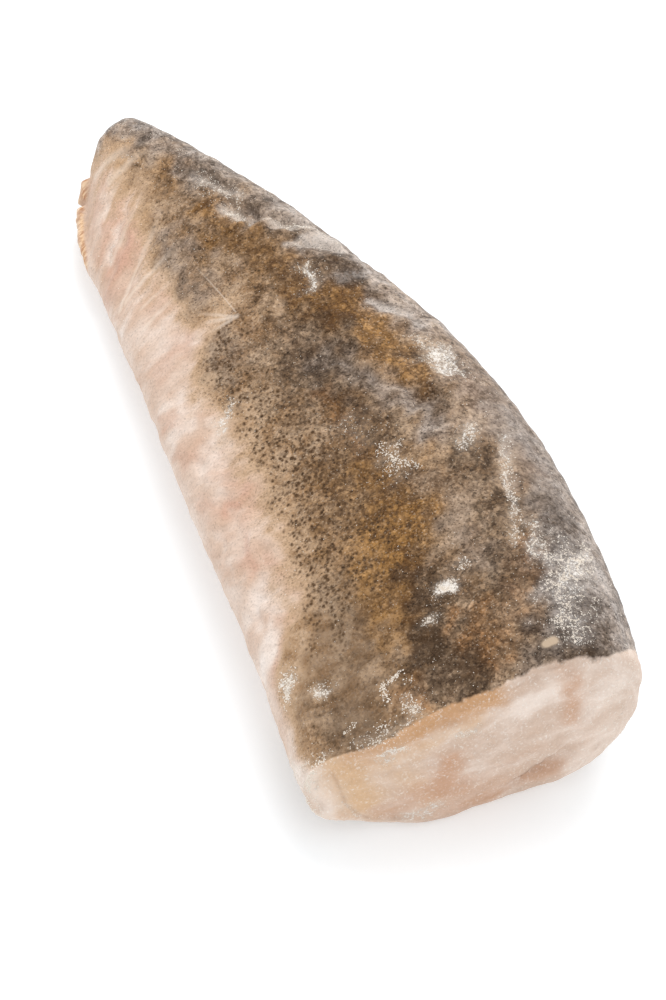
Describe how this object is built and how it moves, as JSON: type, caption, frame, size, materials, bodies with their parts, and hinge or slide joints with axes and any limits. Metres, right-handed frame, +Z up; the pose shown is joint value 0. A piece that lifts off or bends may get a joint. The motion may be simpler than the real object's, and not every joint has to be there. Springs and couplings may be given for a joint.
{
  "type": "frozen hake",
  "caption": "Stiff frozen hake trunk without head or tail fin, lying on its flank, with a straight cut at the thick end and a tapering tail; food to thaw, cook or stack.",
  "frame": {"origin": "middle of the footprint, on the flat underside", "axes": "+Y from the cut at the thick end to the tail, +X from the belly to the back, +Z up from the underside"},
  "size_m": [0.109, 0.298, 0.0578],
  "materials": {
    "skin": "mottled brown and grey fish skin with dark speckles under a thin frost glaze, pale along the belly",
    "frost": "white crumbs and flakes of frost on the skin"
  },
  "bodies": {
    "root": {"hake_trunk": "skin"}
  },
  "joints": []
}
